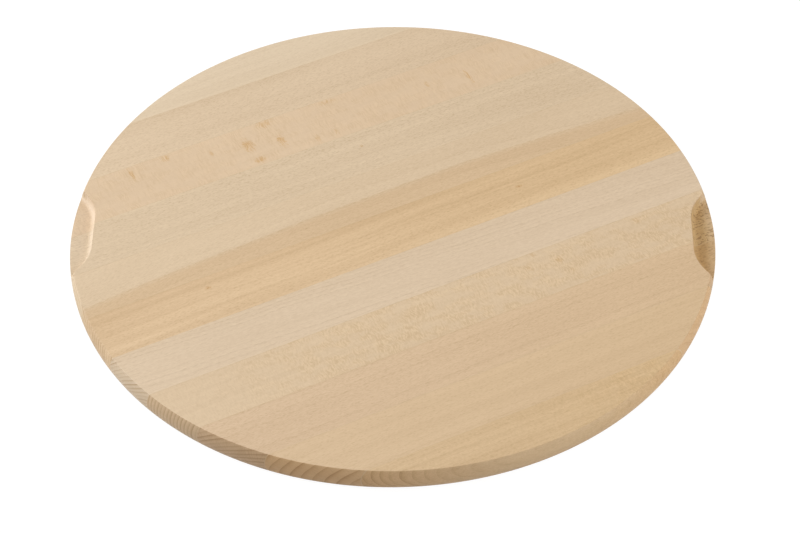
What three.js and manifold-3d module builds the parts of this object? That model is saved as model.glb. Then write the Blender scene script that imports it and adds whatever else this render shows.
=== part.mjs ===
// A round pizza board: beech staves glued edge to edge, turned to a disc, with two finger grips in the rim.
// Millimetres, +Z up. The underside rests on z = 0 with its centre at the origin, and +X runs through the grips.
import * as THREE from "three";
import { mergeVertices } from "three/addons/utils/BufferGeometryUtils.js";
import Module from "manifold-3d";

// The disc
const BOARD_DIAMETER = 500; // across the widest part of the rim
const BOARD_THICKNESS = 18;
const RIM_CROWN = 2.5; // how far the rim swells past the edges of the two faces
const TOP_EASE = 0.5; // radius that breaks the upper edge
const BOTTOM_EASE = 3; // radius that breaks the lower edge

// The glued panel
const STAVE_COUNT = 11;
const PANEL_TRIM = 7.5; // what turning takes off the panel at its outermost staves
const GLUE_LINE = 0.2; // cured film between two staves
const GLUE_CLEARANCE = 0.05; // from a film to the stave on either side
const GRAIN_ANGLE = 28; // degrees from the line through the grips to the grain

// The finger grips
const GRIP_FLAT = 32; // straight length of the inner wall
const GRIP_REACH = 17.8; // from the widest part of the rim in to that wall
const GRIP_DEPTH = 7; // from the top face down to the floor
const GRIP_CORNER = 43; // plan radius from the wall to the flared ends
const GRIP_FLARE = 34.5; // degrees that the ends turn away from the wall
const GRIP_COVE = 4.5; // radius from the wall to the floor

// How far a cutting shape passes the faces that it cuts
const CUT_MARGIN = 10;

// Fineness of the facets
const RIM_FACETS = 144;
const CROWN_FACETS = 8;
const EASE_FACETS = 3;
const CORNER_FACETS = 8;
const COVE_FACETS = 5;

const BEECH_TONES = {
  cream: "#e3cca9",
  sand: "#dac09a",
  straw: "#dcbf94",
  honey: "#d3af7f",
  rose: "#d5b48b",
};
// From the far left stave to the near right one, as the boards were picked for the panel.
const TONE_ORDER = [
  "cream", "sand", "straw", "sand", "straw", "honey", "cream", "straw", "rose", "rose", "honey",
];
const GLUE_COLOUR = "#b08a5a";
const SANDED_ROUGHNESS = 0.62;

const radius = BOARD_DIAMETER / 2;
const middle = BOARD_THICKNESS / 2;
const pitch = (BOARD_DIAMETER + 2 * PANEL_TRIM) / STAVE_COUNT;
const staveWidth = pitch - GLUE_LINE - 2 * GLUE_CLEARANCE;
const grain = THREE.MathUtils.degToRad(GRAIN_ANGLE);

const wasm = await Module();
wasm.setup();

// A closed three.js geometry as a solid that can be cut.
function solidFrom(geometry) {
  const bare = geometry.clone();
  bare.deleteAttribute("normal");
  bare.deleteAttribute("uv");
  const merged = mergeVertices(bare);
  return new wasm.Manifold(
    new wasm.Mesh({
      numProp: 3,
      vertProperties: merged.attributes.position.array,
      triVerts: new Uint32Array(merged.index.array),
    }),
  );
}

// A cut solid as a geometry again.
function geometryFrom(solid) {
  const mesh = solid.getMesh();
  const geometry = new THREE.BufferGeometry();
  geometry.setAttribute("position", new THREE.BufferAttribute(mesh.vertProperties, mesh.numProp));
  geometry.setIndex(new THREE.BufferAttribute(mesh.triVerts, 1));
  geometry.computeVertexNormals();
  return geometry;
}

// Points of an arc in the rim's section, x outwards and y up, angles from the horizontal.
function arcPoints(centreX, centreY, arcRadius, from, to, facets) {
  return Array.from({ length: facets + 1 }, (_, i) => {
    const angle = THREE.MathUtils.lerp(from, to, i / facets);
    return new THREE.Vector2(centreX + arcRadius * Math.cos(angle), centreY + arcRadius * Math.sin(angle));
  });
}

// The disc before the grips are cut: a crowned rim whose edges are eased by arcs tangent to the crown and the faces.
function discBlank() {
  const crownRadius = (middle ** 2 + RIM_CROWN ** 2) / (2 * RIM_CROWN);
  const crownCentre = radius - crownRadius;
  const easeOffset = (ease) => Math.sqrt((crownRadius - ease) ** 2 - (middle - ease) ** 2);
  const easeAngle = (ease) => Math.atan2(middle - ease, easeOffset(ease));
  const low = easeAngle(BOTTOM_EASE);
  const high = easeAngle(TOP_EASE);
  const lowCentre = crownCentre + easeOffset(BOTTOM_EASE);
  const highCentre = crownCentre + easeOffset(TOP_EASE);
  const quarter = Math.PI / 2;
  const profile = [
    new THREE.Vector2(0, 0),
    ...arcPoints(lowCentre, BOTTOM_EASE, BOTTOM_EASE, -quarter, -low, EASE_FACETS),
    ...arcPoints(crownCentre, middle, crownRadius, -low, high, CROWN_FACETS).slice(1, -1),
    ...arcPoints(highCentre, BOARD_THICKNESS - TOP_EASE, TOP_EASE, high, quarter, EASE_FACETS),
    new THREE.Vector2(0, BOARD_THICKNESS),
  ];
  return new THREE.LatheGeometry(profile, RIM_FACETS).rotateX(Math.PI / 2);
}

// What a grip takes out of the rim at +X: a straight wall with flared ends, coved into a flat floor.
function gripCut() {
  const wall = radius - GRIP_REACH;
  const half = GRIP_FLAT / 2;
  const flare = THREE.MathUtils.degToRad(GRIP_FLARE);
  const arcCentre = wall + GRIP_CORNER;
  const arcEnd = arcCentre - GRIP_CORNER * Math.cos(flare);
  const outside = Math.max(radius, arcEnd) + GRIP_COVE + CUT_MARGIN;
  const reachY = half + GRIP_CORNER * Math.sin(flare) + (outside - arcEnd) / Math.tan(flare);
  const plan = new THREE.Shape();
  plan.moveTo(outside, -reachY);
  plan.lineTo(outside, reachY);
  plan.absarc(arcCentre, half, GRIP_CORNER, Math.PI - flare, Math.PI, false);
  plan.absarc(arcCentre, -half, GRIP_CORNER, Math.PI, Math.PI + flare, false);
  return new THREE.ExtrudeGeometry(plan, {
    depth: GRIP_DEPTH,
    curveSegments: CORNER_FACETS,
    bevelEnabled: true,
    bevelThickness: GRIP_COVE,
    bevelSize: GRIP_COVE,
    bevelOffset: -GRIP_COVE,
    bevelSegments: COVE_FACETS,
  }).translate(0, 0, BOARD_THICKNESS - GRIP_DEPTH + GRIP_COVE);
}

// The disc with both grips, turned so that the grain runs along X.
function shapedDisc() {
  const cut = gripCut();
  const towardsGrip = (turn) => solidFrom(cut.clone().rotateZ(turn - grain));
  return solidFrom(discBlank()).subtract(towardsGrip(0)).subtract(towardsGrip(Math.PI));
}

// The strip of the disc, along the grain, that has its middle line and width given.
function stripOf(disc, centre, width) {
  const length = BOARD_DIAMETER + 2 * CUT_MARGIN;
  const height = BOARD_THICKNESS + 2 * CUT_MARGIN;
  const slab = new THREE.BoxGeometry(length, width, height).translate(0, centre, middle);
  return geometryFrom(disc.intersect(solidFrom(slab)));
}

function piece(name, geometry, colour) {
  const material = new THREE.MeshStandardMaterial({
    color: colour,
    roughness: SANDED_ROUGHNESS,
    metalness: 0,
  });
  const mesh = new THREE.Mesh(geometry, material);
  mesh.name = name;
  return mesh;
}

const numbered = (word, index) => `${word}_${String(index + 1).padStart(2, "0")}`;

// Equal staves from the far left to the near right, with a glue line after each but the last.
const disc = shapedDisc();
const board = new THREE.Group();
board.rotation.z = grain;
for (let i = 0; i < STAVE_COUNT; i += 1) {
  const centre = ((STAVE_COUNT - 1) / 2 - i) * pitch;
  const tone = BEECH_TONES[TONE_ORDER[i % TONE_ORDER.length]];
  board.add(piece(numbered("stave", i), stripOf(disc, centre, staveWidth), tone));
  if (i < STAVE_COUNT - 1) {
    const film = stripOf(disc, centre - pitch / 2, GLUE_LINE);
    board.add(piece(numbered("glue_line", i), film, GLUE_COLOUR));
  }
}

const group = new THREE.Group();
group.add(board);

export default group;
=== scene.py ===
# Looks of a round beech pizza board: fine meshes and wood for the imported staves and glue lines.
import math
from dataclasses import dataclass

import bmesh
import bpy
from mathutils import Matrix, Vector


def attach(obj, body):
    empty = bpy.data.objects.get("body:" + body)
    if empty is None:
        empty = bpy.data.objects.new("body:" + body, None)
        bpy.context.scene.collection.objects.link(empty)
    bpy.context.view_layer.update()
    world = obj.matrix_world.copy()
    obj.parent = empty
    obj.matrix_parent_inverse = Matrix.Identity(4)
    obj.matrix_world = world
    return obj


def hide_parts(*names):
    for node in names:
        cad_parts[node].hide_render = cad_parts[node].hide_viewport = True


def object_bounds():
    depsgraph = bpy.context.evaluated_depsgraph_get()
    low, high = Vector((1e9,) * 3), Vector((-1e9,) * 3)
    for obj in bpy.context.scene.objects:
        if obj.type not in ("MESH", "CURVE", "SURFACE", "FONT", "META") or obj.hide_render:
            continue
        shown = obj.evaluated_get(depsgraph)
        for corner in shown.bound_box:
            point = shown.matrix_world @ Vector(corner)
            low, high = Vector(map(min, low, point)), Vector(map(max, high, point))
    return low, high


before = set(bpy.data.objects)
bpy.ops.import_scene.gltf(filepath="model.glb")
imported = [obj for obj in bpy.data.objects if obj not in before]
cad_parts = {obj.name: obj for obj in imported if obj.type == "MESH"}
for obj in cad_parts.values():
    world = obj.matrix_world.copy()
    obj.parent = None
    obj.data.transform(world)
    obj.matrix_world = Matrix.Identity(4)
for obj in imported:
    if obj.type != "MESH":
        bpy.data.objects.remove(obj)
cad_low, cad_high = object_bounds()

MM = 0.001

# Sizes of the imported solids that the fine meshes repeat, in metres
RADIUS = cad_high.x
THICKNESS = cad_high.z
RIM_CROWN = 2.5 * MM
TOP_EASE = 0.5 * MM
BOTTOM_EASE = 3.0 * MM
GRAIN_ANGLE = math.radians(28)
GRIP_FLAT = 32.0 * MM
GRIP_REACH = 17.8 * MM
GRIP_DEPTH = 7.0 * MM
GRIP_CORNER = 43.0 * MM
GRIP_FLARE = math.radians(34.5)
GRIP_COVE = 4.5 * MM

# Fineness that only these meshes have
GRIP_EDGE = 0.4 * MM
CUT_MARGIN = 10.0 * MM  # how far a cutting shape passes the faces that it cuts
RIM_STEPS = 360
CROWN_STEPS = 14
EASE_STEPS = 5
CORNER_STEPS = 14
COVE_STEPS = 8
SHARP_ANGLE = math.radians(28)
FLAT_AREA = 150.0 * MM * MM  # a larger face is flat, and is shaded so
WELD = 1e-7

# Camera, solved from the outline of the board; the target lies on the serving face
SENSOR_WIDTH = 36.0
LENS = 135.0
CAMERA_AZIMUTH = math.radians(0.9)
CAMERA_ELEVATION = math.radians(44.39)
CAMERA_ROLL = math.radians(-0.474)
CAMERA_DISTANCE = 2297.2 * MM
CAMERA_TARGET = Vector((5.57, -38.15)) * MM

along_grain = Vector((math.cos(GRAIN_ANGLE), math.sin(GRAIN_ANGLE), 0))
across_grain = Vector((-math.sin(GRAIN_ANGLE), math.cos(GRAIN_ANGLE), 0))


def linear(hex_colour):
    """A written sRGB colour as the linear RGBA that the shaders take."""
    values = [int(hex_colour[i : i + 2], 16) / 255 for i in (1, 3, 5)]
    return [c / 12.92 if c <= 0.04045 else ((c + 0.055) / 1.055) ** 2.4 for c in values] + [1.0]


# Meshes


def arc(centre_r, centre_z, radius, start, end, steps):
    angles = [start + (end - start) * i / steps for i in range(steps + 1)]
    return [(centre_r + radius * math.cos(a), centre_z + radius * math.sin(a)) for a in angles]


def rim_profile():
    """Radius and height up the crowned rim, from the underside's edge to the serving face's edge."""
    middle = THICKNESS / 2
    crown = (middle**2 + RIM_CROWN**2) / (2 * RIM_CROWN)
    centre = RADIUS - crown

    def ease(size):
        offset = math.sqrt((crown - size) ** 2 - (middle - size) ** 2)
        return centre + offset, math.atan2(middle - size, offset)

    low_centre, low_angle = ease(BOTTOM_EASE)
    high_centre, high_angle = ease(TOP_EASE)
    quarter = math.pi / 2
    return (
        arc(low_centre, BOTTOM_EASE, BOTTOM_EASE, -quarter, -low_angle, EASE_STEPS)
        + arc(centre, middle, crown, -low_angle, high_angle, CROWN_STEPS)[1:-1]
        + arc(high_centre, THICKNESS - TOP_EASE, TOP_EASE, high_angle, quarter, EASE_STEPS)
    )


def mesh_from_rings(name, rings):
    """A closed mesh: rings of as many points each, joined in order and capped at both ends."""
    bm = bmesh.new()
    rows = [[bm.verts.new(p) for p in ring] for ring in rings]
    count = len(rows[0])
    for lower, upper in zip(rows, rows[1:]):
        for i in range(count):
            j = (i + 1) % count
            bm.faces.new((lower[i], lower[j], upper[j], upper[i]))
    bm.faces.new(reversed(rows[0]))
    bm.faces.new(rows[-1])
    bmesh.ops.recalc_face_normals(bm, faces=bm.faces[:])
    mesh = bpy.data.meshes.new(name)
    bm.to_mesh(mesh)
    bm.free()
    return mesh


def disc_mesh():
    turns = [2 * math.pi * i / RIM_STEPS for i in range(RIM_STEPS)]
    rings = [[(r * math.cos(t), r * math.sin(t), z) for t in turns] for r, z in rim_profile()]
    return mesh_from_rings("disc", rings)


def grip_outline(inset, height, side):
    """One level of a grip: a straight wall with flared ends, moved into the board by inset."""
    wall = RADIUS - GRIP_REACH
    centre = wall + GRIP_CORNER
    radius = GRIP_CORNER + inset
    outside = RADIUS + CUT_MARGIN
    half = GRIP_FLAT / 2
    corner = [
        (centre - radius * math.cos(a), half + radius * math.sin(a))
        for a in (GRIP_FLARE * i / CORNER_STEPS for i in range(CORNER_STEPS + 1))
    ]
    end_x, end_y = corner[-1]
    corner.append((outside, end_y + (outside - end_x) / math.tan(GRIP_FLARE)))
    outline = [(x, -y) for x, y in reversed(corner)] + corner
    return [(side * x, side * y, height) for x, y in outline]


def grip_mesh(side):
    """What a finger grip takes out of the disc: cove, wall and an eased upper edge."""
    floor = THICKNESS - GRIP_DEPTH
    levels = []
    for i in range(COVE_STEPS + 1):
        a = math.pi / 2 * i / COVE_STEPS
        levels.append((GRIP_COVE * (math.sin(a) - 1), floor + GRIP_COVE * (1 - math.cos(a))))
    for i in range(EASE_STEPS + 1):
        a = math.pi / 2 * i / EASE_STEPS
        levels.append((GRIP_EDGE * (1 - math.cos(a)), THICKNESS - GRIP_EDGE * (1 - math.sin(a))))
    levels.append((GRIP_EDGE, THICKNESS + CUT_MARGIN))
    return mesh_from_rings("grip", [grip_outline(inset, z, side) for inset, z in levels])


def shaped_disc():
    """The disc with both grips cut, as a mesh that the strips are cut from."""
    body = bpy.data.objects.new("disc", disc_mesh())
    cutters = [bpy.data.objects.new("grip", grip_mesh(side)) for side in (1, -1)]
    for item in [body, *cutters]:
        bpy.context.scene.collection.objects.link(item)
    for cutter in cutters:
        cut = body.modifiers.new("grip", "BOOLEAN")
        cut.operation = "DIFFERENCE"
        cut.solver = "EXACT"
        cut.object = cutter
    graph = bpy.context.evaluated_depsgraph_get()
    mesh = bpy.data.meshes.new_from_object(body.evaluated_get(graph))
    for item in [body, *cutters]:
        bpy.data.objects.remove(item)
    return mesh


def span(node):
    """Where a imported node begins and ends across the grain."""
    places = [across_grain.dot(v.co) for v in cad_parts[node].data.vertices]
    return min(places), max(places)


def shade_by_shape(bm):
    """Smooth over the rim and coves, sharp at edges and around the flat faces."""
    for face in bm.faces:
        face.smooth = True
    for edge in bm.edges:
        flat = any(f.calc_area() > FLAT_AREA for f in edge.link_faces)
        edge.smooth = not flat and edge.calc_face_angle(0) < SHARP_ANGLE


def strip_object(name, disc, low, high):
    """The strip of the disc between two lines along the grain, as a closed mesh."""
    bm = bmesh.new()
    bm.from_mesh(disc)
    for limit, side in ((low, -1), (high, 1)):
        if abs(limit) > RADIUS - 2 * RIM_CROWN:
            continue
        bmesh.ops.bisect_plane(
            bm,
            geom=bm.verts[:] + bm.edges[:] + bm.faces[:],
            dist=WELD,
            plane_co=across_grain * limit,
            plane_no=across_grain * side,
            clear_outer=True,
        )
        bmesh.ops.holes_fill(bm, edges=[e for e in bm.edges if e.is_boundary], sides=0)
    bmesh.ops.recalc_face_normals(bm, faces=bm.faces[:])
    shade_by_shape(bm)
    mesh = bpy.data.meshes.new(name)
    bm.to_mesh(mesh)
    bm.free()
    piece = bpy.data.objects.new(name, mesh)
    bpy.context.scene.collection.objects.link(piece)
    return piece


# Wood


class Graph:
    """Builds one material's nodes: most methods add nodes and return an output socket."""

    def __init__(self, name):
        self.material = bpy.data.materials.new(name)
        self.material.use_nodes = True
        self.tree = self.material.node_tree
        self.tree.nodes.clear()

    def add(self, kind, inputs, output=0, **settings):
        node = self.tree.nodes.new("ShaderNode" + kind)
        for key, value in settings.items():
            setattr(node, key, value)
        for key, value in inputs.items():
            if isinstance(value, bpy.types.NodeSocket):
                self.tree.links.new(value, node.inputs[key])
            else:
                node.inputs[key].default_value = value
        return node.outputs[output]

    def math(self, operation, *values):
        return self.add("Math", dict(enumerate(values)), operation=operation)

    def vector(self, operation, *values, output=0):
        return self.add("VectorMath", dict(enumerate(values)), output, operation=operation)

    def times(self, *values):
        result = values[0]
        for value in values[1:]:
            result = self.math("MULTIPLY", result, value)
        return result

    def plus(self, base, value, factor):
        """The base and the value times the factor."""
        return self.math("MULTIPLY_ADD", value, factor, base)

    def combine(self, x, y, z):
        return self.add("CombineXYZ", {0: x, 1: y, 2: z})

    def length(self, vector):
        return self.vector("LENGTH", vector, output="Value")

    def scaled(self, values, sizes):
        """A place measured in steps of the sizes."""
        return self.combine(*(self.math("DIVIDE", v, s) for v, s in zip(values, sizes)))

    def split(self, vector):
        node = self.add("SeparateXYZ", {0: vector}).node
        return node.outputs[0], node.outputs[1], node.outputs[2]

    def noise(self, vector, detail=2.0, roughness=0.5, output="Fac"):
        inputs = {"Vector": vector, "Scale": 1.0, "Detail": detail, "Roughness": roughness}
        return self.add("TexNoise", inputs, output)

    def cells(self, vector, output="Distance"):
        return self.add("TexVoronoi", {"Vector": vector, "Scale": 1.0}, output)

    def fade(self, value, low, high):
        """0 at low, 1 at high, eased between; low may be the larger."""
        inputs = {"Value": value, "From Min": low, "From Max": high}
        return self.add("MapRange", inputs, interpolation_type="SMOOTHSTEP")

    def lerp(self, factor, low, high):
        return self.add("MapRange", {"Value": factor, "To Min": low, "To Max": high})

    def mix(self, factor, a, b, blend="MIX"):
        return self.add("Mix", {0: factor, 6: a, 7: b}, 2, data_type="RGBA", blend_type=blend)

    def tint(self, colour, share, tint):
        """The colour multiplied by a tint, as far as the share says."""
        return self.mix(share, colour, (*tint, 1), blend="MULTIPLY")

    def finish(self, bsdf):
        output = self.tree.nodes.new("ShaderNodeOutputMaterial")
        self.tree.links.new(bsdf, output.inputs["Surface"])
        return self.material


# The panel as the materials measure it, in millimetres
HALF_LENGTH = RADIUS / MM
FACE_HEIGHT = THICKNESS / MM
SEED_STEP = 731.0  # moves the figure on from stave to stave

# Red, green and blue: how far a stave swings about its colour, and tints that multiply it
TONE_SWING = (0.20, 0.25, 0.32)
HEART_TINT = (0.94, 0.88, 0.80)
HEART_EDGE_TINT = (0.93, 0.90, 0.84)
# painted light: the face yellower towards the right-hand end, where the key light's whiter sheen fades
PAINTED_LIGHT_GOLD_TINT = (0.98, 0.96, 0.88)
# End grain tints, darker than the face and partly painted light: palest where the key light falls on the
# left-hand ends, deepest in the shade at the front
END_GRAIN_PAINTED_LIT = (0.92, 0.90, 0.85)
END_GRAIN_PAINTED_HALF_SHADE = (0.90, 0.84, 0.75)
END_GRAIN_PAINTED_SHADE = (0.98, 0.87, 0.72)
END_RING_TINT = (0.66, 0.54, 0.40)
FLECK_TINT = (0.88, 0.74, 0.52)
KNOT_TINT = (0.78, 0.62, 0.42)
RAY_TINT = (0.95, 0.89, 0.76)
# painted highlight on the cove and wall of the left grip
CUT_PAINTED_HIGHLIGHT = (1.05, 1.07, 1.12)
CUT_PLAIN = (1.0, 1.0, 1.0)
# painted shade on the floor of the right grip
CUT_PAINTED_SHADE = (0.80, 0.70, 0.49)
PIT_TINT = (0.42, 0.31, 0.18)

# Sizes of the figure in millimetres
DRIFT_SIZE = (150, 70, 70)  # along the grain, across it and up
STREAK_SIZE = (300, 6, 14)  # along the grain, out from the pith and round it
FIBRE_SIZE = (4, 0.55, 0.55)  # as the streaks
RAY_SIZE = (0.6, 3.2, 22)  # round the pith, along the grain and out from the pith
STROKE_WIDTH = 0.9
STROKE_BEND = 5
FLECK_RISE = 150.0  # length over which flecks set in
MARK_DEPTH = 2.0

# The same as steps for each millimetre: along the grain, across it and up
RIPPLE_STEPS = (0.03, 0.04, 0.04)
BEND_STEPS = (0.12, 0.15, 0.12)
PATCH_STEPS = (0.07, 0.1, 0.07)
PIT_STEPS = (0.36, 0.7, 0.7)

# Where a value starts and ends its fade from 0 to 1
FIGURE_FADE = (0.3, 0.7)
RAY_FADE = (0.42, 0.2)
STROKE_FADE = (0.34, 0.66)
PATCH_FADE = (0.35, 0.65)
PIT_FADE = (0.53, 0.61)
MARK_FADE = (1.5, 0.7)
END_FADE = (0.1, 0.7)
RIGHT_FADE = (-0.1, 0.1)
UPWARD_FADE = (0.5, 0.9)

# Shares that a figure's value, from 0 to 1, is mapped to
YEAR_SHARES = (0.2, 1.0)
END_YEAR_SHARES = (0.35, 1.0)
FRAYED_SHARES = (0.3, 1.4)  # of a ring, where the fibres break it up
PATCH_SHARES = (0.3, 1.0)
MARK_SHARES = (0.2, 1.2)
RIGHT_END_SHARES = (1.0, 0.25)
# share of the grips' painted highlight and painted shade that is left at the rim
PAINTED_LIGHT_RIM_SHARES = (0.5, 1.0)
LATE_POWER = 4  # narrows the dark late wood of a ring on the face
END_LATE_POWER = 3  # and on the end grain
RING_MEAN = 0.12
DRIFT_TONE = 0.2
MARK_FRAY = 0.8

# The cut faces of the finger grips in millimetres: in from the rim, down from the face, and up from below
CUT_FROM_RIM = (4, 6)
CUT_FROM_FACE = (0.2, 1.5)
CUT_HEIGHT = (7, 9)
# where the grips' painted highlight and painted shade fade out, in from the rim
PAINTED_LIGHT_FROM_RIM = (1, 9)

# Heartwood edge on the fifth stave: its crest along and across the grain, its fall, drift and softness
HEART_CREST = (30.0, 43.5)
HEART_FALL = 0.00014
HEART_DRIFT = 8
HEART_FADE = (-3, 4)
HEART_LINE_FADE = (1.8, 0.2)

# Surface
BUMP_STRENGTH = 0.2
BUMP_HEIGHT = 0.05 * MM
FIBRE_RELIEF = -0.6
RAY_RELIEF = -0.4
ROUGHNESS = (0.55, 0.68)
SPECULAR = 0.45
SHEEN = 0.12
SHEEN_ROUGHNESS = 0.4
GLUE_TONES = ("#d3ba96", "#c9ad86")
GLUE_STEPS = (120, 120, 120)  # mottle, for each metre
GLUE_ROUGHNESS = 0.5


@dataclass
class Mark:
    """A small knot or fleck at one place of the serving face; lengths in millimetres."""

    along: float
    across: float
    length: float
    width: float
    depth: float
    tint: tuple = FLECK_TINT


@dataclass
class Stave:
    """How one stave was sawn and what it looks like; lengths in millimetres, angles in degrees.

    Tones are shares of the swing between the stave's darkest and lightest wood.
    """

    slot: str
    colour: str
    pith_angle: float  # from straight down to the pith, seen from the middle of the serving face
    pith_distance: float = 95.0
    lean: float = 0.0  # drift of the pith across the grain for each millimetre along it
    bow: float = 0.0  # how far the rings arch over the half length of the board
    wander: float = 5.0
    waves: float = 2.0
    ring_width: float = 3.2
    rings: float = 0.13
    streaks: float = 0.11
    fibres: float = 0.20
    dashes: float = 0.22
    flecks: float = 0.0
    fleck_length: float = 7.0
    fleck_start: float = -400.0  # place along the grain where the flecks set in
    shade: float = 0.0  # tone lost for each millimetre towards the far side
    painted_light_gold: float = 0.0  # how much yellower the right-hand end is: painted light, where the key light's whiter sheen fades out
    torn: float = 0.1  # depth of the specks in the floor of a finger grip
    # end grain tint: darker than the face, with the key light painted in its paler choices and shade in
    # its deeper ones
    end_grain_and_painted_light_tint: tuple = END_GRAIN_PAINTED_LIT
    cut_painted_light_tint: tuple = CUT_PLAIN  # painted highlight or painted shade on the faces of a finger grip
    heart: float = 0.0  # depth of the warm heartwood below its arched edge
    marks: tuple = ()


STAVES = [
    Stave("beech_cream", "#d9c4a6", -55, dashes=0.15, fibres=0.15),
    Stave("beech_sand", "#d5bd9d", 25, pith_distance=70, dashes=0.32),
    Stave(
        "beech_straw",
        "#d8be9d",
        88,
        pith_distance=120,
        rings=0.05,
        streaks=0.06,
        fibres=0.08,
        dashes=0.05,
        flecks=0.2,
        fleck_length=9,
        # painted highlight on the left grip's cove and wall
        cut_painted_light_tint=CUT_PAINTED_HIGHLIGHT,
        marks=(
            Mark(-152, 156, 2.0, 10, 0.9),
            Mark(-121, 160, 3.5, 5, 0.8),
            Mark(-86, 148, 2.0, 4, 0.5),
            Mark(-56, 142, 5.0, 9, 1.0),
            Mark(-54, 123, 5.5, 4, 0.9),
            Mark(-30, 135, 4.0, 8, 0.9),
            Mark(-3, 124, 2.0, 6, 0.8),
            Mark(14, 124, 2.0, 6, 0.5),
            Mark(-34, 160, 8.0, 5, 0.7),
            Mark(23, 161, 8.0, 3, 0.5),
            Mark(105, 142, 2.0, 5, 0.5),
            Mark(140, 135, 2.0, 10, 0.9),
        ),
    ),
    Stave(
        "beech_sand",
        "#d6bf9f",
        -48,
        lean=-0.03,
        rings=0.2,
        dashes=0.27,
        fibres=0.23,
        # painted highlight on the left grip's cove and wall
        cut_painted_light_tint=CUT_PAINTED_HIGHLIGHT,
        marks=(Mark(24, 100, 1.8, 1.4, 1.0, KNOT_TINT),),
    ),
    Stave("beech_straw", "#d7bf9e", 18, bow=18, heart=1.0),
    Stave(
        "beech_honey",
        "#d5b790",
        60,
        lean=0.01,
        streaks=0.3,
        shade=0.0055,
        painted_light_gold=0.8,
        marks=(Mark(-152, 11, 3, 1.8, 1.0, KNOT_TINT), Mark(112, 0, 2.8, 1.9, 1.0, KNOT_TINT)),
    ),
    Stave(
        "beech_cream",
        "#d8c1a3",
        -42,
        lean=-0.05,
        waves=4,
        ring_width=2.8,
        rings=0.28,
        dashes=0.12,
        shade=0.002,
    ),
    Stave(
        "beech_straw",
        "#d8bf9d",
        86,
        pith_distance=110,
        rings=0.08,
        fibres=0.1,
        dashes=0.05,
        flecks=0.36,
        fleck_length=4,
        fleck_start=-230,
        end_grain_and_painted_light_tint=END_GRAIN_PAINTED_HALF_SHADE,
        # painted shade on the right grip's floor
        cut_painted_light_tint=CUT_PAINTED_SHADE,
        torn=0.6,
        marks=(
            Mark(99, -87, 3.5, 4, 0.5),
            Mark(84, -73, 3.0, 3, 0.3),
            Mark(74, -85, 3.5, 4, 0.35),
            Mark(174, -76, 3.5, 4, 0.35),
            Mark(103, -101, 2.5, 3, 0.3),
        ),
    ),
    Stave(
        "beech_rose",
        "#d5b997",
        -29,
        dashes=0.24,
        rings=0.22,
        painted_light_gold=0.7,
        end_grain_and_painted_light_tint=END_GRAIN_PAINTED_HALF_SHADE,
        # painted shade on the right grip's floor
        cut_painted_light_tint=CUT_PAINTED_SHADE,
        torn=0.3,
    ),
    Stave(
        "beech_rose",
        "#d5b994",
        -62,
        ring_width=5.6,
        dashes=0.15,
        fibres=0.15,
        painted_light_gold=0.4,
        end_grain_and_painted_light_tint=END_GRAIN_PAINTED_SHADE,
    ),
    Stave(
        "beech_honey",
        "#d1b48d",
        -108,
        pith_distance=62,
        rings=0.22,
        streaks=0.2,
        dashes=0.12,
        flecks=0.3,
        fleck_length=6,
        fleck_start=-20,
        painted_light_gold=1.0,
        end_grain_and_painted_light_tint=END_GRAIN_PAINTED_SHADE,
    ),
]


def tinted(hex_colour, factors):
    """The colour with red, green and blue scaled, as linear RGBA."""
    return [c * f for c, f in zip(linear(hex_colour), factors)] + [1.0]


def marked(g, wood, marks, panel, fibre, stroke):
    """Knots and flecks at their places on the serving face."""
    for mark in marks:
        offset = g.vector("SUBTRACT", panel, (mark.along, mark.across, FACE_HEIGHT))
        spread = g.vector("DIVIDE", offset, (mark.length, mark.width, MARK_DEPTH))
        edge = g.plus(g.length(spread), fibre, MARK_FRAY)
        depth = g.lerp(stroke, *(share * mark.depth for share in MARK_SHARES))
        wood = g.tint(wood, g.times(g.fade(edge, *MARK_FADE), depth), mark.tint)
    return wood


def with_heart(g, wood, depth, u, across, drift, fibre):
    """Warm heartwood below an edge that arches along the grain and shows as a line."""
    along = g.math("POWER", g.math("SUBTRACT", u, HEART_CREST[0]), 2)
    limit = g.math("MULTIPLY_ADD", along, -HEART_FALL, HEART_CREST[1])
    below = g.math("SUBTRACT", g.plus(limit, drift, HEART_DRIFT), across)
    wood = g.tint(wood, g.times(g.fade(below, *HEART_FADE), depth), HEART_TINT)
    line = g.times(g.fade(g.math("ABSOLUTE", below), *HEART_LINE_FADE), fibre)
    return g.tint(wood, line, HEART_EDGE_TINT)


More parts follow.
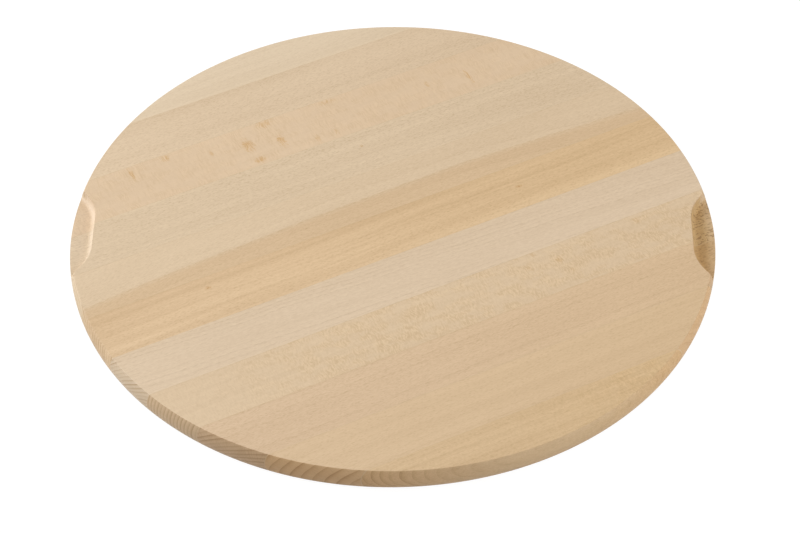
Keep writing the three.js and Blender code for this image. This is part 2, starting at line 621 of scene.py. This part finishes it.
def edged(g, wood, stave, panel, rise, year):
    """End grain on the rim and the cut faces of the finger grips, over the wood of the face, with painted
    light and painted shade on both.
    """
    u, across, z = g.split(panel)
    normal = g.add("TexCoord", {}, "Normal")
    upward = g.fade(g.split(normal)[2], *UPWARD_FADE)
    from_axis = g.length(g.combine(u, across, 0.0))
    inner = g.fade(from_axis, *(HALF_LENGTH - d for d in CUT_FROM_RIM))
    cut = g.times(
        g.math("MAXIMUM", upward, inner),
        g.fade(z, *(FACE_HEIGHT - d for d in CUT_FROM_FACE)),
        g.fade(z, *CUT_HEIGHT),
    )

    # The end grain is darker, and its tint is partly painted light and painted shade; the rings show on
    # the end grain; the right-hand ends are sanded smoother
    facing = g.vector("DOT_PRODUCT", normal, tuple(along_grain), output="Value")
    end = g.times(g.fade(g.math("ABSOLUTE", facing), *END_FADE), g.lerp(cut, 1.0, 0.0))
    wood = g.tint(wood, end, stave.end_grain_and_painted_light_tint)
    late = g.math("POWER", rise, END_LATE_POWER)
    smooth = g.lerp(g.fade(facing, *RIGHT_FADE), *RIGHT_END_SHARES)
    wood = g.tint(wood, g.times(late, g.lerp(year, *END_YEAR_SHARES), end, smooth), END_RING_TINT)

    # The cut faces get a painted highlight or painted shade, weaker towards the rim, with specks where
    # the cutter tore the floor
    painted_light_rim_fade = g.lerp(g.fade(from_axis, *(HALF_LENGTH - d for d in PAINTED_LIGHT_FROM_RIM)), *PAINTED_LIGHT_RIM_SHARES)
    wood = g.tint(wood, g.times(cut, painted_light_rim_fade), stave.cut_painted_light_tint)
    pit = g.fade(g.noise(g.vector("MULTIPLY", panel, PIT_STEPS), detail=2), *PIT_FADE)
    return g.tint(wood, g.times(cut, upward, pit, stave.torn), PIT_TINT)


def beech(index, stave, centre):
    """Solid beech cut from a log: rings round a pith, rays that run out from it, and fibres along it."""
    g = Graph(f"beech_stave_{index + 1:02d}")
    coordinates = g.add("TexCoord", {}, "Object")
    turned = g.add("VectorRotate", {"Vector": coordinates, "Angle": -GRAIN_ANGLE}, rotation_type="Z_AXIS")
    panel = g.vector("MULTIPLY", turned, (1 / MM, 1 / MM, 1 / MM))
    u, across, z = g.split(panel)
    v = g.math("SUBTRACT", across, centre / MM)
    seed = SEED_STEP * (index + 1)
    shifted = g.math("ADD", u, seed)

    # Rings: distance from a pith that leans, arches and wanders along the log
    drift = g.noise(g.scaled((shifted, v, z), DRIFT_SIZE), detail=1.5, output="Color")
    drift_v, drift_z, drift_tone = g.split(g.vector("SUBTRACT", drift, (0.5, 0.5, 0.5)))
    angle = math.radians(stave.pith_angle)
    arch = g.math("POWER", g.math("DIVIDE", u, HALF_LENGTH), 2)
    ripples = g.noise(g.vector("MULTIPLY", panel, RIPPLE_STEPS), detail=2)
    from_v = g.math("SUBTRACT", v, stave.pith_distance * math.sin(angle))
    from_v = g.plus(from_v, u, -stave.lean)
    from_v = g.plus(from_v, arch, stave.bow)
    from_v = g.plus(from_v, drift_v, stave.wander)
    from_v = g.plus(from_v, ripples, stave.waves)
    from_z = g.math("SUBTRACT", z, FACE_HEIGHT - stave.pith_distance * math.cos(angle))
    from_z = g.plus(from_z, drift_z, stave.wander)
    out = g.length(g.combine(from_v, from_z, 0.0))
    turn = g.times(g.math("ARCTAN2", from_v, from_z), stave.pith_distance)
    phase = g.math("DIVIDE", out, stave.ring_width)
    rise = g.math("FRACT", phase)
    number = g.math("ADD", g.math("FLOOR", phase), seed)
    year = g.add("TexWhiteNoise", {"W": number}, noise_dimensions="1D")

    # Streaks and fibres follow the rings along the log, and fray them
    log_place = (shifted, out, turn)
    streak = g.fade(g.noise(g.scaled(log_place, STREAK_SIZE), detail=3), *FIGURE_FADE)
    fibre = g.fade(g.noise(g.scaled(log_place, FIBRE_SIZE), detail=2, roughness=0.6), *FIGURE_FADE)
    ring = g.times(
        g.math("POWER", rise, LATE_POWER), g.lerp(year, *YEAR_SHARES), g.lerp(fibre, *FRAYED_SHARES)
    )

    # Rays are thin plates: short dashes on a face along the rings
    ray = g.fade(g.cells(g.scaled((turn, shifted, out), RAY_SIZE)), *RAY_FADE)

    # On a face across the rings the rays lie open as short strokes, strongest in patches
    bend = g.noise(g.vector("MULTIPLY", panel, BEND_STEPS), detail=1)
    bent = g.plus(shifted, bend, STROKE_BEND)
    stroke_size = (STROKE_WIDTH, stave.fleck_length, STROKE_WIDTH)
    stroke = g.fade(g.noise(g.scaled((bent, out, turn), stroke_size), detail=1), *STROKE_FADE)
    patch = g.fade(g.noise(g.vector("MULTIPLY", panel, PATCH_STEPS), detail=2), *PATCH_FADE)
    patch = g.times(patch, g.fade(u, stave.fleck_start, stave.fleck_start + FLECK_RISE))
    fleck = g.times(g.math("SUBTRACT", stroke, 0.5), g.lerp(patch, *PATCH_SHARES))

    # Tone of the wood about the stave's own colour
    tone = g.math("MULTIPLY_ADD", ring, -stave.rings, 0.5 + RING_MEAN * stave.rings)
    tone = g.plus(tone, g.math("SUBTRACT", streak, 0.5), -stave.streaks)
    tone = g.plus(tone, g.math("SUBTRACT", fibre, 0.5), -stave.fibres)
    tone = g.plus(tone, ray, -stave.dashes)
    tone = g.plus(tone, fleck, -stave.flecks)
    tone = g.plus(tone, drift_tone, DRIFT_TONE)
    tone = g.plus(tone, v, -stave.shade)
    darkest = tinted(stave.colour, [1 - swing for swing in TONE_SWING])
    lightest = tinted(stave.colour, [1 + swing for swing in TONE_SWING])
    wood = g.mix(tone, darkest, lightest)
    wood = g.tint(wood, g.times(patch, stave.flecks), RAY_TINT)
    # Painted light: yellower towards the right-hand end, in place of the key light's whiter sheen fading
    # from the left
    wood = g.tint(wood, g.times(g.fade(u, -HALF_LENGTH, HALF_LENGTH), stave.painted_light_gold), PAINTED_LIGHT_GOLD_TINT)
    wood = marked(g, wood, stave.marks, panel, fibre, stroke)
    if stave.heart:
        wood = with_heart(g, wood, stave.heart, u, across, drift_z, fibre)
    wood = edged(g, wood, stave, panel, rise, year)

    # Surface
    relief = g.plus(g.times(ray, RAY_RELIEF), fibre, FIBRE_RELIEF)
    bump = g.add("Bump", {"Strength": BUMP_STRENGTH, "Distance": BUMP_HEIGHT, "Height": relief})
    rough = g.lerp(fibre, *ROUGHNESS)
    bsdf = g.add("BsdfPrincipled", {"Base Color": wood, "Roughness": rough, "Normal": bump})
    bsdf.node.inputs["Specular IOR Level"].default_value = SPECULAR
    bsdf.node.inputs["Sheen Weight"].default_value = SHEEN
    bsdf.node.inputs["Sheen Roughness"].default_value = SHEEN_ROUGHNESS
    return g.finish(bsdf)


def glue():
    g = Graph("glue_line")
    coordinates = g.add("TexCoord", {}, "Object")
    mottle = g.noise(g.vector("MULTIPLY", coordinates, GLUE_STEPS), detail=3)
    colour = g.mix(g.fade(mottle, *PATCH_FADE), *(linear(tone) for tone in GLUE_TONES))
    bsdf = g.add("BsdfPrincipled", {"Base Color": colour, "Roughness": GLUE_ROUGHNESS})
    return g.finish(bsdf)


def build_board():
    disc = shaped_disc()
    names = [f"stave_{i + 1:02d}" for i in range(len(STAVES))]
    spans = [span(name) for name in names]
    pitch = spans[1][0] - spans[2][0]
    for i, (name, stave, (low, high)) in enumerate(zip(names, STAVES, spans)):
        piece = strip_object(f"fine_{name}", disc, low, high)
        piece.data.materials.append(beech(i, stave, pitch * ((len(STAVES) - 1) / 2 - i)))
        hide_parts(name)
        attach(piece, "root")
    film = glue()
    for i, (upper, lower) in enumerate(zip(spans, spans[1:])):
        name = f"glue_line_{i + 1:02d}"
        piece = strip_object(f"fine_{name}", disc, lower[1], upper[0])
        piece.data.materials.append(film)
        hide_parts(name)
        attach(piece, "root")
    bpy.data.meshes.remove(disc)


# Studio


# To the camera and in reflections the floor is a white sheet, on which only part of the shadow shows
FLOOR_VEIL = 0.82
FLOOR_GLOW = 1.15
FLOOR_GREY = (0.72, 0.72, 0.72, 1)
FLOOR_HALF = 6.0
FLOOR_DROP = 0.2 * MM  # keeps the floor clear of the underside
WHITE = (1, 1, 1, 1)


def add_floor():
    mesh = bpy.data.meshes.new("floor")
    signs = ((-1, -1), (1, -1), (1, 1), (-1, 1))
    corners = [(x * FLOOR_HALF, y * FLOOR_HALF, 0) for x, y in signs]
    mesh.from_pydata(corners, [], [(0, 1, 2, 3)])
    floor = bpy.data.objects.new("floor", mesh)
    bpy.context.scene.collection.objects.link(floor)
    floor.location.z = -FLOOR_DROP
    g = Graph("pale_floor")
    diffuse = g.add("BsdfDiffuse", {"Color": FLOOR_GREY})
    path = g.add("LightPath", {}).node
    mirrored = g.math("MAXIMUM", path.outputs["Is Glossy Ray"], path.outputs["Is Transmission Ray"])
    seen = g.math("MAXIMUM", path.outputs["Is Camera Ray"], mirrored)
    white = g.add("Emission", {"Color": WHITE, "Strength": FLOOR_GLOW})
    veiled = g.add("MixShader", {0: FLOOR_VEIL, 1: diffuse, 2: white})
    shown = g.add("MixShader", {0: seen, 1: diffuse, 2: veiled})
    mesh.materials.append(g.finish(shown))


@dataclass
class Lamp:
    """A softbox that faces the board; angles in degrees round from +X and up from the floor."""

    name: str
    azimuth: float
    elevation: float
    power: float
    colour: tuple


LAMP_DISTANCE = 2.3
LAMP_SIZE = (1.5, 1.25)
AMBIENT = 0.17
AMBIENT_COLOUR = (1.0, 0.78, 0.54, 1.0)
LAMPS = [
    Lamp("key_left", 168, 28, 51.0, (0.92, 1.0, 1.12)),
    Lamp("fill_right", -22, 23, 30.0, (0.95, 1.0, 1.10)),
    Lamp("overhead", 90, 80, 14.0, (1.0, 0.94, 0.84)),
]


def add_lamp(lamp):
    data = bpy.data.lights.new(lamp.name, "AREA")
    data.shape = "RECTANGLE"
    data.size, data.size_y = LAMP_SIZE
    data.energy = lamp.power
    data.color = lamp.colour
    light = bpy.data.objects.new(lamp.name, data)
    bpy.context.scene.collection.objects.link(light)
    azimuth, elevation = math.radians(lamp.azimuth), math.radians(lamp.elevation)
    level = math.cos(elevation)
    toward = Vector((level * math.cos(azimuth), level * math.sin(azimuth), math.sin(elevation)))
    light.location = toward * LAMP_DISTANCE
    light.rotation_euler = toward.to_track_quat("Z", "Y").to_euler()


def add_world():
    world = bpy.data.worlds.new("studio")
    bpy.context.scene.world = world
    world.use_nodes = True
    nodes = world.node_tree.nodes
    links = world.node_tree.links
    nodes.clear()
    ambient = nodes.new("ShaderNodeBackground")
    ambient.inputs["Color"].default_value = AMBIENT_COLOUR
    ambient.inputs["Strength"].default_value = AMBIENT
    white = nodes.new("ShaderNodeBackground")
    white.inputs["Color"].default_value = WHITE
    white.inputs["Strength"].default_value = 1.0
    path = nodes.new("ShaderNodeLightPath")
    seen = path.outputs["Is Camera Ray"]
    for ray in ("Is Glossy Ray", "Is Transmission Ray"):
        either = nodes.new("ShaderNodeMath")
        either.operation = "MAXIMUM"
        links.new(seen, either.inputs[0])
        links.new(path.outputs[ray], either.inputs[1])
        seen = either.outputs[0]
    mix = nodes.new("ShaderNodeMixShader")
    output = nodes.new("ShaderNodeOutputWorld")
    links.new(seen, mix.inputs[0])
    links.new(ambient.outputs[0], mix.inputs[1])
    links.new(white.outputs[0], mix.inputs[2])
    links.new(mix.outputs[0], output.inputs["Surface"])


def add_camera():
    turn = Matrix.Rotation(CAMERA_AZIMUTH, 3, "Z")
    back = turn @ Vector((0, -math.cos(CAMERA_ELEVATION), math.sin(CAMERA_ELEVATION)))
    right = turn @ Vector((1, 0, 0))
    up = back.cross(right)
    cos_roll, sin_roll = math.cos(CAMERA_ROLL), math.sin(CAMERA_ROLL)
    axis_x = right * cos_roll + up * sin_roll
    axis_y = up * cos_roll - right * sin_roll
    target = turn @ Vector((CAMERA_TARGET.x, CAMERA_TARGET.y, 0))
    target.z = THICKNESS
    place = Matrix((axis_x, axis_y, back)).transposed().to_4x4()
    place.translation = target + back * CAMERA_DISTANCE
    data = bpy.data.cameras.new("camera")
    data.sensor_width = SENSOR_WIDTH
    data.lens = LENS
    camera = bpy.data.objects.new("camera", data)
    bpy.context.scene.collection.objects.link(camera)
    camera.matrix_world = place
    bpy.context.scene.camera = camera


add_camera()
build_board()
add_floor()
add_world()
for lamp in LAMPS:
    add_lamp(lamp)
bpy.context.scene.view_settings.view_transform = "Standard"
